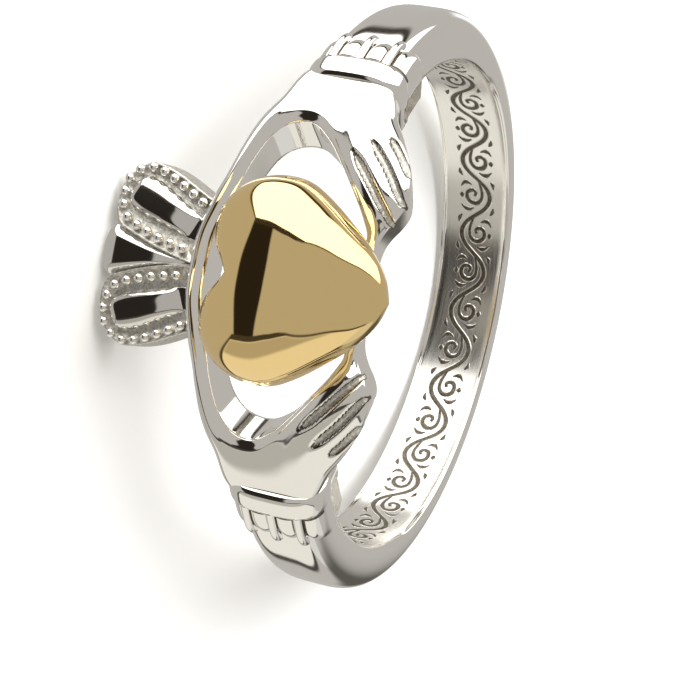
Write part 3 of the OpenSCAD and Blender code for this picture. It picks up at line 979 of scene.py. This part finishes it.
def scroll_tree():
    """Waves of the scroll in a row, each turned over from the last, then bent round the bore."""
    tree, add, given = new_tree(
        "ScrollRoundBore", Motif="Object", Waves="Int", Pitch="Float", Radius="Float", Tilt="Float",
        Shift="Vector", Cut="Material", Edge="Material")

    # Where each wave stands along the row, and 1 or -1 to turn every other one over
    row = add("GeometryNodeMeshLine", {"Offset": (0, 0, 0), "Count": given["Waves"]}, mode="OFFSET")
    index = add("GeometryNodeInputIndex")
    half_row = add("ShaderNodeMath", {0: given["Waves"], 1: 2.0}, operation="DIVIDE")
    place = add("ShaderNodeMath", {0: index, 1: half_row}, operation="SUBTRACT")
    along = add("ShaderNodeMath", {0: place, 1: given["Pitch"]}, operation="MULTIPLY")
    odd = add("ShaderNodeMath", {0: index, 1: 2.0}, operation="MODULO")
    over = add("ShaderNodeMath", {0: odd, 1: -2.0, 2: 1.0}, operation="MULTIPLY_ADD")
    spots = add("GeometryNodeSetPosition",
                {"Geometry": row, "Position": add("ShaderNodeCombineXYZ", {"X": along})})
    flip = add("ShaderNodeCombineXYZ", {"X": 1.0, "Y": over, "Z": 1.0})

    # The waves as one set of curves, as wide at each point as the stroke is
    motif = add("GeometryNodeObjectInfo", {"Object": given["Motif"]}).outputs["Geometry"]
    laid = add("GeometryNodeInstanceOnPoints", {"Points": spots, "Instance": motif, "Scale": flip})
    real = add("GeometryNodeRealizeInstances", {"Geometry": laid})
    curve = add("GeometryNodeMeshToCurve", {"Mesh": real})
    upright = add("GeometryNodeSetCurveNormal", {"Curve": curve}, mode="Z_UP")
    stroke = add("GeometryNodeInputNamedAttribute", {"Name": "stroke"}, data_type="FLOAT")
    wide = add("GeometryNodeSetCurveRadius", {"Curve": upright, "Radius": stroke})

    # A flat place, X along the band and Z into its wall, bent round the bore
    flat = add("ShaderNodeSeparateXYZ", {"Vector": add("GeometryNodeInputPosition")}).outputs
    reach = add("ShaderNodeMath", {0: given["Radius"], 1: flat["Z"]}, operation="SUBTRACT")
    angle = add("ShaderNodeMath", {0: flat["X"], 1: given["Radius"]}, operation="DIVIDE")
    bent = {"Z": flat["Y"]}
    for axis, operation in (("X", "SINE"), ("Y", "COSINE")):
        part = add("ShaderNodeMath", {0: angle}, operation=operation)
        bent[axis] = add("ShaderNodeMath", {0: reach, 1: part}, operation="MULTIPLY")
    bent = add("ShaderNodeCombineXYZ", bent)
    tilt = add("ShaderNodeCombineXYZ", {"X": given["Tilt"]})

    # Each section swept along the curves, bent, laid down and given its material
    strands = []
    for half, height, points, paint in SCROLL_SECTIONS:
        oval = add("GeometryNodeCurvePrimitiveCircle", {"Resolution": points, "Radius": half * MM})
        section = add("GeometryNodeTransform", {"Geometry": oval, "Scale": (1, height / half, 1)})
        solid = add("GeometryNodeCurveToMesh", {
            "Curve": wide, "Profile Curve": section, "Scale": stroke, "Fill Caps": True})
        turned = add("GeometryNodeSetPosition", {"Geometry": solid, "Position": bent})
        down = add("GeometryNodeTransform",
                   {"Geometry": turned, "Translation": given["Shift"], "Rotation": tilt})
        strands.append(real_and_painted(add, down, given[paint]))
    add("NodeGroupOutput", {"Geometry": add("GeometryNodeJoinGeometry", {"Geometry": strands})})
    return tree


# Sizes and colours that a user would change


def length_of(name, description, mm, **limits):
    """A length, told here in mm and kept in the scene's metres."""
    return bpy.props.FloatProperty(
        name=name, description=description, default=mm * MM, subtype="DISTANCE", **limits)


def count_of(name, description, default):
    """A count of repeated pieces."""
    return bpy.props.IntProperty(
        name=name, description=description, default=default, min=1, subtype="UNSIGNED")


def colour_of(name, description, code):
    """A colour as sRGB hex."""
    return bpy.props.StringProperty(name=name, description=description, default=code)


def roughness_of(name, description, default):
    """A roughness from 0, a mirror, to 1, chalk."""
    return bpy.props.FloatProperty(
        name=name, description=description, default=default, min=0, max=1, subtype="FACTOR")


class RingSizes(bpy.types.PropertyGroup):
    """Sizes of the ring"""

    band_width: length_of("Band width", "Width of the band", 2.6, min=2.0 * MM, max=3.0 * MM)
    band_back: length_of("Back thickness", "Thickness of the band at the back", 1.3)
    band_front: length_of(
        "Front thickness", "Thickness that the band's taper would reach under the head", 1.9)
    cuff_width: length_of("Cuff width", "Width of the collars", 3.3)
    cuff_height: length_of("Cuff height", "Height of the collars above the bore", 2.25)
    sleeve_span: bpy.props.FloatProperty(
        name="Sleeve span", description="Angle that a ribbed sleeve spans",
        default=math.radians(7.0), subtype="ANGLE")
    rib_pitch: length_of("Rib spacing", "Spacing of the sleeve's ribs", 0.92)
    rib_diameter: length_of("Rib diameter", "Diameter of the sleeve's ribs", 0.29)
    groove_depth: length_of("Finger groove depth", "Depth of the grooves between the fingers", 0.16)
    bead_count: count_of("Beads", "Beads along each petal of the crown", 16)
    bead_diameter: length_of("Bead diameter", "Diameter of a crown bead", 0.33)
    scroll_waves: count_of("Scroll waves", "Waves of the engraved scroll inside the band", 23)
    heart_rise: length_of("Heart rise", "Rise of the heart's face above its widest line", 2.0)

    def in_mm(self):
        """The sizes as the shapes take them: lengths in mm, angles in degrees."""
        factors = {"DISTANCE": 1 / MM, "ANGLE": math.degrees(1)}
        return types.SimpleNamespace(**{
            name: getattr(self, name) * factors.get(self.bl_rna.properties[name].subtype, 1)
            for name in RingSizes.__annotations__})


class RingFinish(bpy.types.PropertyGroup):
    """Colours and polish of the ring"""

    silver: colour_of("Silver", "Polished silver's reflection colour", "#f4f2ee")
    polish: roughness_of("Silver roughness", "Roughness of polished silver", 0.07)
    satin: roughness_of("Inner wall roughness", "Roughness of the band's satin inside", 0.22)
    # A shade darker than the silver: painted darker reflection on the crown's panels
    crown_panel_painted_darker: colour_of("Crown panels", "Reflection colour of the crown's panels", "#e6e4e0")
    grain_light: colour_of("Grain, light", "Top of the grain under the beads", "#eceae4")
    grain_dark: colour_of("Grain, dark", "Pits of the grain under the beads", "#b4b0a7")
    # Oxide in the scroll's cuts, and painted shade in the sleeves' seams and finger grooves
    engraved: colour_of("Engraving", "Colour in the engraved lines", "#7d766b")
    oxide_and_shade_pits: colour_of("Engraving, dark", "Pits in the engraved lines", "#4c463e")
    gold: colour_of("Gold", "Polished gold's reflection colour", "#f6d99c")
    gold_polish: roughness_of("Gold roughness", "Roughness of polished gold", 0.05)


# Studio

# Camera: place and aim in the laid-down frame in mm, the direction that is up in the picture, its
# lens and sensor in mm, and how near and far it sees in metres
CAMERA_AT = (-0.895, -57.416, 43.134)
CAMERA_AIM = (2.026, 0.455, 2.702)
CAMERA_UP = (-0.981, -0.076, -0.180)
CAMERA_LENS = 102.86
CAMERA_SENSOR = 36
CAMERA_CLIP = (0.001, 10)

# Studio walls round the ring, from the first laid to the last: the way to the panel, its middle and
# its half size as slopes seen from the ring (sideways, up), the blur of its edges, and its tone
STUDIO_PANELS = [
    ("-Y", (0.06, -0.25), (0.84, 0.29), 0.04, "#2a2520", 1.0),
    ("-X", (-0.94, 0.22), (1.47, 1.29), 0.06, "#3b362d", 1.0),
    ("-X", (-0.72, 0.22), (1.10, 1.18), 0.03, "#fffdf8", 2.4),
    ("-X", (0.98, 0.86), (0.62, 0.54), 0.03, "#fffdf8", 2.2),
    ("+X", (-0.44, 0.04), (1.29, 1.11), 0.06, "#45413a", 1.0),
    ("+X", (-0.30, 0.04), (1.00, 0.98), 0.03, "#e6e3da", 1.1),
    ("+X", (-0.86, 0.04), (0.42, 0.98), 0.10, "#b9b5ac", 1.0),
    ("+X", (1.14, 0.66), (0.46, 0.36), 0.03, "#dddcd8", 1.0),
    ("+Y", (0.44, -0.05), (0.20, 0.34), 0.12, "#5e5b56", 1.0),
    ("+Y", (-0.38, -0.32), (0.20, 0.14), 0.08, "#ffffff", 1.3),
]
STUDIO_WALL = "#bdbab5"
STUDIO_PAPER = "#fbfbfb"

# Paper floor: half its size in mm
FLOOR_HALF = 600

# Colour sockets of a mix node, which share their names with its other kinds of socket
MIX_UNDER, MIX_OVER, MIX_RESULT = 6, 7, 2

# Light from above that the metal doesn't show: place and size in mm, and the glow of its surface
TOP_LIGHT_AT = (-210, -40, 450)
TOP_LIGHT_SIZE = 420
TOP_LIGHT_GLOW = 4.2


def top_light():
    """Square soft box over the ring, its power worked out from its glow."""
    data = bpy.data.lights.new("top_light", "AREA")
    data.shape = "SQUARE"
    data.size = TOP_LIGHT_SIZE * MM
    data.energy = TOP_LIGHT_GLOW * math.pi * data.size ** 2
    lamp = linked("top_light", data)
    lamp.location = Vector(TOP_LIGHT_AT) * MM
    lamp.rotation_euler = (-Vector(TOP_LIGHT_AT)).to_track_quat("-Z", "Y").to_euler()
    lamp.visible_glossy = False


def panel_mask(add, sides, ahead, middle, half, blur):
    """1 where a direction meets a panel that stands ahead, 0 round it."""
    mask = add("ShaderNodeMath", {0: ahead, 1: 0.0}, operation="GREATER_THAN")
    for away, centre, reach in zip(sides, middle, half):
        # How far the direction's slope is from that of the panel's middle
        for operation, value in (("DIVIDE", ahead), ("SUBTRACT", centre), ("ABSOLUTE", 0.0)):
            away = add("ShaderNodeMath", {0: away, 1: value}, operation=operation)
        edge = add("ShaderNodeMapRange",
                   {"Value": away, "From Min": reach + blur, "From Max": reach - blur},
                   interpolation_type="SMOOTHSTEP")
        mask = add("ShaderNodeMath", {0: mask, 1: edge}, operation="MULTIPLY")
    return mask


def studio_world(scene):
    """Pale studio whose soft boxes and dark gaps the metal mirrors."""
    world = bpy.data.worlds.new("studio")
    scene.world = world
    world.use_nodes = True
    world.node_tree.nodes.clear()
    add = partial(add_node, world.node_tree)
    place = add("ShaderNodeTexCoord").outputs["Generated"]
    x, y, z = add("ShaderNodeSeparateXYZ", {"Vector": place}).outputs
    back_x, back_y = (add("ShaderNodeMath", {0: v, 1: -1.0}, operation="MULTIPLY") for v in (x, y))
    ways = {"+X": (x, y), "-X": (back_x, y), "+Y": (y, x), "-Y": (back_y, x)}
    tone = from_hex(STUDIO_WALL)
    for way, middle, half, blur, code, gain in STUDIO_PANELS:
        ahead, side = ways[way]
        mask = panel_mask(add, (side, z), ahead, middle, half, blur)
        laid = add("ShaderNodeMix",
                   {"Factor": mask, MIX_UNDER: tone, MIX_OVER: from_hex(code, gain)}, data_type="RGBA")
        tone = laid.outputs[MIX_RESULT]
    mirrored_studio = add("ShaderNodeBackground", {"Color": tone})
    paper = add("ShaderNodeBackground", {"Color": from_hex(STUDIO_PAPER)})
    seen = add("ShaderNodeLightPath").outputs["Is Camera Ray"]
    both = add("ShaderNodeMixShader", {0: seen, 1: mirrored_studio, 2: paper})
    add("ShaderNodeOutputWorld", {"Surface": both})


def studio_floor():
    """Wide sheet of uncoated paper: pale and matte, with no highlight of its own."""
    half = FLOOR_HALF * MM
    mesh = bpy.data.meshes.new("studio_floor")
    mesh.from_pydata([(-half, -half, 0), (half, -half, 0), (half, half, 0), (-half, half, 0)],
                     [], [(0, 1, 2, 3)])
    floor = linked("studio_floor", mesh)
    material, tree = new_material("pale_uncoated_paper")
    if tree:
        paper = add_node(tree, "ShaderNodeBsdfPrincipled",
                         {"Base Color": from_hex(STUDIO_PAPER), "Roughness": 0.9})
        add_node(tree, "ShaderNodeOutputMaterial", {"Surface": paper})
    mesh.materials.append(material)
    # Polished metal mirrors the studio, not the paper that it lies on
    floor.visible_glossy = False
    floor.visible_shadow = False


def studio_camera(scene):
    """Camera at the picture's angle to the ring."""
    data = bpy.data.cameras.new("camera")
    data.lens = CAMERA_LENS
    data.sensor_width = CAMERA_SENSOR
    data.clip_start, data.clip_end = CAMERA_CLIP
    at, aim, up = (Vector(v) for v in (CAMERA_AT, CAMERA_AIM, CAMERA_UP))
    behind = (at - aim).normalized()
    right = up.cross(behind).normalized()
    turn = Matrix((right, behind.cross(right), behind)).transposed()
    scene.camera = linked("camera", data)
    scene.camera.matrix_world = Matrix.Translation(at * MM) @ turn.to_4x4()


# Operators


class RING_OT_band(bpy.types.Operator):
    """Adds the plain band behind the cuffs"""

    bl_idname = "ring.band"
    bl_label = "Band"

    def execute(self, context):
        band = make_piece("band", band_part(context.scene.ring_sizes.in_mm()), polished_silver())
        other_finish(band, satin_silver(),
                     [axis_distance(vertex.co) < INNER_WALL_R for vertex in band.data.vertices])
        return {"FINISHED"}


class RING_OT_cuffs(bpy.types.Operator):
    """Adds the collars and the ribbed sleeves"""

    bl_idname = "ring.cuffs"
    bl_label = "Cuffs"

    def execute(self, context):
        size = context.scene.ring_sizes.in_mm()
        rib_radius = size.rib_diameter / 2 * MM
        make_piece("cuff_collars", mirrored(collar_part(size)), polished_silver())
        sleeve, seams = sleeve_part(size)
        sleeves = make_piece("cuff_sleeves", mirrored(sleeve), polished_silver())
        # Painted shade in the seams beside the ribs and by the collar
        other_finish(sleeves, oxide_and_shade_silver(), np.tile(seams, 2))
        grown(line_object("rib_lines", rib_lines(size)), rod_tree(),
              {"Radius": rib_radius, "Ends": RIB_END * rib_radius, "Sides": RIB_SIDES,
               "Material": polished_silver()}, "cuff_ribs")
        return {"FINISHED"}


class RING_OT_hands(bpy.types.Operator):
    """Adds the hands, the arc over the heart and the bridge under its tip"""

    bl_idname = "ring.hands"
    bl_label = "Hands"

    def execute(self, context):
        part, cuts = hands_part(context.scene.ring_sizes.in_mm())
        hands = make_piece("hands_and_arc", part, polished_silver())
        # Painted shade down the finger grooves, grained metal on their floors
        other_finish(hands, oxide_and_shade_silver(), cuts > GROOVE_SHADE_FROM)
        other_finish(hands, grained_silver(), cuts > GROOVE_GRAIN_FROM)
        make_piece("heart_seats", seats_part(), polished_silver(), smooth_shading=False)
        return {"FINISHED"}


class RING_OT_crown(bpy.types.Operator):
    """Adds the crown's petals, wedge and beads"""

    bl_idname = "ring.crown"
    bl_label = "Crown"

    def execute(self, context):
        size = context.scene.ring_sizes.in_mm()
        petal, face = (smooth(crown_points(rows), CROWN_STEPS, True)
                       for rows in (PETAL_ROWS, PETAL_FACE_ROWS))
        wedge = crown_points(both_halves(smooth(WEDGE_FACE_HALF_ROWS, CROWN_STEPS)))
        make_piece("crown_petals", mirrored(plate_part(petal, face)), grained_silver())
        make_piece("crown_petal_faces", mirrored(cushion_part(face, *PETAL_PANEL)), darker_panel_silver())
        make_piece("crown_wedge_face", cushion_part(wedge, *WEDGE_PANEL), darker_panel_silver())
        across, along = smooth(crown_points(BEAD_ROWS), BEAD_LINE_STEPS).T
        lines = [lay_down(across_head(side * across, PLATE_TOP, along)) for side in (-1, 1)]
        grown(line_object("bead_lines", lines), bead_tree(),
              {"Count": size.bead_count, "Radius": size.bead_diameter / 2 * MM,
               "Material": polished_silver()}, "crown_beads")
        return {"FINISHED"}


class RING_OT_heart(bpy.types.Operator):
    """Adds the puffed gold heart"""

    bl_idname = "ring.heart"
    bl_label = "Heart"

    def execute(self, context):
        make_piece("heart", heart_part(context.scene.ring_sizes.in_mm()), polished_gold(),
                   "gold_heart")
        return {"FINISHED"}


class RING_OT_engraving(bpy.types.Operator):
    """Adds the engraved scroll round the inside of the band"""

    bl_idname = "ring.engraving"
    bl_label = "Engraving"

    def execute(self, context):
        motif = scroll_motif("scroll_wave")
        grown(line_object("scroll_seed", [[(0, 0, 0), (0, 0, MM)]]), scroll_tree(),
              {"Motif": motif, "Waves": context.scene.ring_sizes.scroll_waves,
               "Pitch": SCROLL_PITCH * MM, "Radius": BORE_R * MM, "Tilt": -REST_TILT,
               "Shift": Vector(REST_SHIFT) * MM, "Cut": oxide_and_shade_silver(),
               "Edge": polished_silver()}, "inside_engraving")
        bpy.data.objects.remove(motif)
        return {"FINISHED"}


class RING_OT_stage(bpy.types.Operator):
    """Adds the floor, the soft studio light and the camera"""

    bl_idname = "ring.stage"
    bl_label = "Stage"

    def execute(self, context):
        studio_floor()
        studio_world(context.scene)
        top_light()
        studio_camera(context.scene)
        context.scene.view_settings.view_transform = "Standard"
        return {"FINISHED"}


class RING_PT_panel(bpy.types.Panel):
    """Sizes, finishes and pieces of the ring"""

    bl_label = "Ring"
    bl_idname = "RING_PT_panel"
    bl_space_type = "VIEW_3D"
    bl_region_type = "UI"
    bl_category = "Ring"

    def draw(self, context):
        layout = self.layout
        for group in (context.scene.ring_sizes, context.scene.ring_finish):
            box = layout.box()
            for key in group.__annotations__:
                box.prop(group, key)
        for operator in OPERATORS:
            layout.operator(operator.bl_idname)


OPERATORS = (RING_OT_band, RING_OT_cuffs, RING_OT_hands, RING_OT_crown, RING_OT_heart,
             RING_OT_engraving, RING_OT_stage)
CLASSES = (RingSizes, RingFinish, *OPERATORS, RING_PT_panel)


def register():
    for item in CLASSES:
        bpy.utils.register_class(item)
    bpy.types.Scene.ring_sizes = bpy.props.PointerProperty(type=RingSizes)
    bpy.types.Scene.ring_finish = bpy.props.PointerProperty(type=RingFinish)


def unregister():
    del bpy.types.Scene.ring_finish
    del bpy.types.Scene.ring_sizes
    for item in reversed(CLASSES):
        bpy.utils.unregister_class(item)


def main():
    register()
    bpy.ops.ring.band()
    bpy.ops.ring.cuffs()
    bpy.ops.ring.hands()
    bpy.ops.ring.crown()
    bpy.ops.ring.heart()
    bpy.ops.ring.engraving()
    bpy.ops.ring.stage()


if __name__ == "__main__":
    main()
